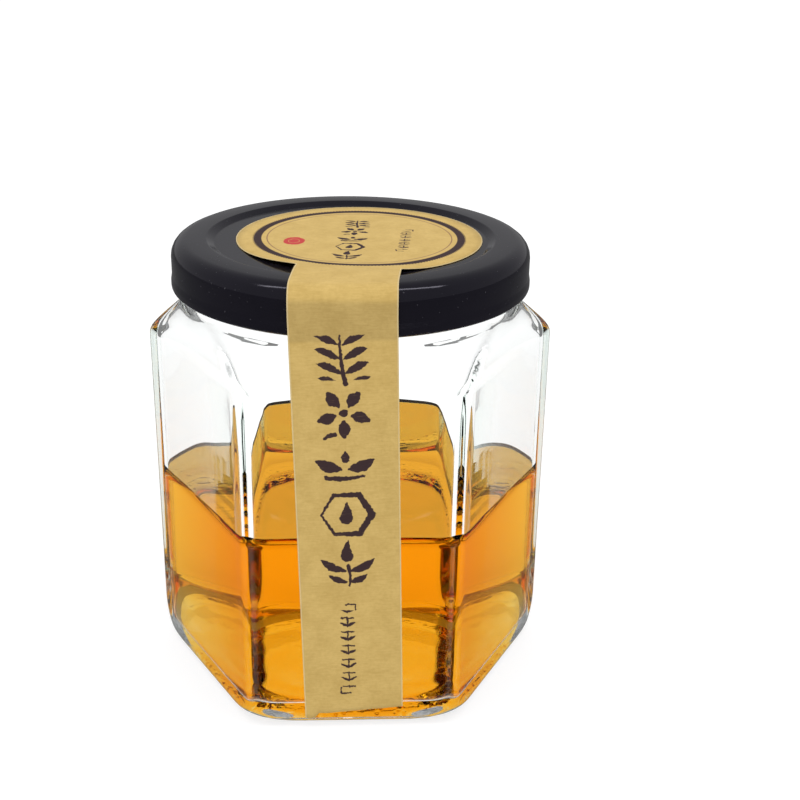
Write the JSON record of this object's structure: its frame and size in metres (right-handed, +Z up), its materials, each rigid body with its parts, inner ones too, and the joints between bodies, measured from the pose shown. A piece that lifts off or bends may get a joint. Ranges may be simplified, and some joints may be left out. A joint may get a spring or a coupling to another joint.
{
  "type": "hexagonal glass jar",
  "caption": "Hexagonal glass jar with a black twist-off lid, half full of clear amber liquid and sealed by a kraft paper strip over the lid.",
  "frame": {"origin": "centre of the outline on the plane the jar stands on", "axes": "+Z up along the jar's axis; one flat face, with the seal's strip, looks along -Y; two corners lie on the X axis"},
  "size_m": [0.0756, 0.0666, 0.0848],
  "materials": {
    "clear_glass": "clear pressed glass, fire polished",
    "amber_liquid": "clear amber honey-like liquid",
    "black_lacquer": "gloss black lacquer on tinplate",
    "kraft_paper": "uncoated tan kraft paper with dark brown print"
  },
  "bodies": {
    "root": {"jar": "clear_glass", "liquid": "amber_liquid", "lid": "black_lacquer", "seal": "kraft_paper"}
  },
  "joints": []
}
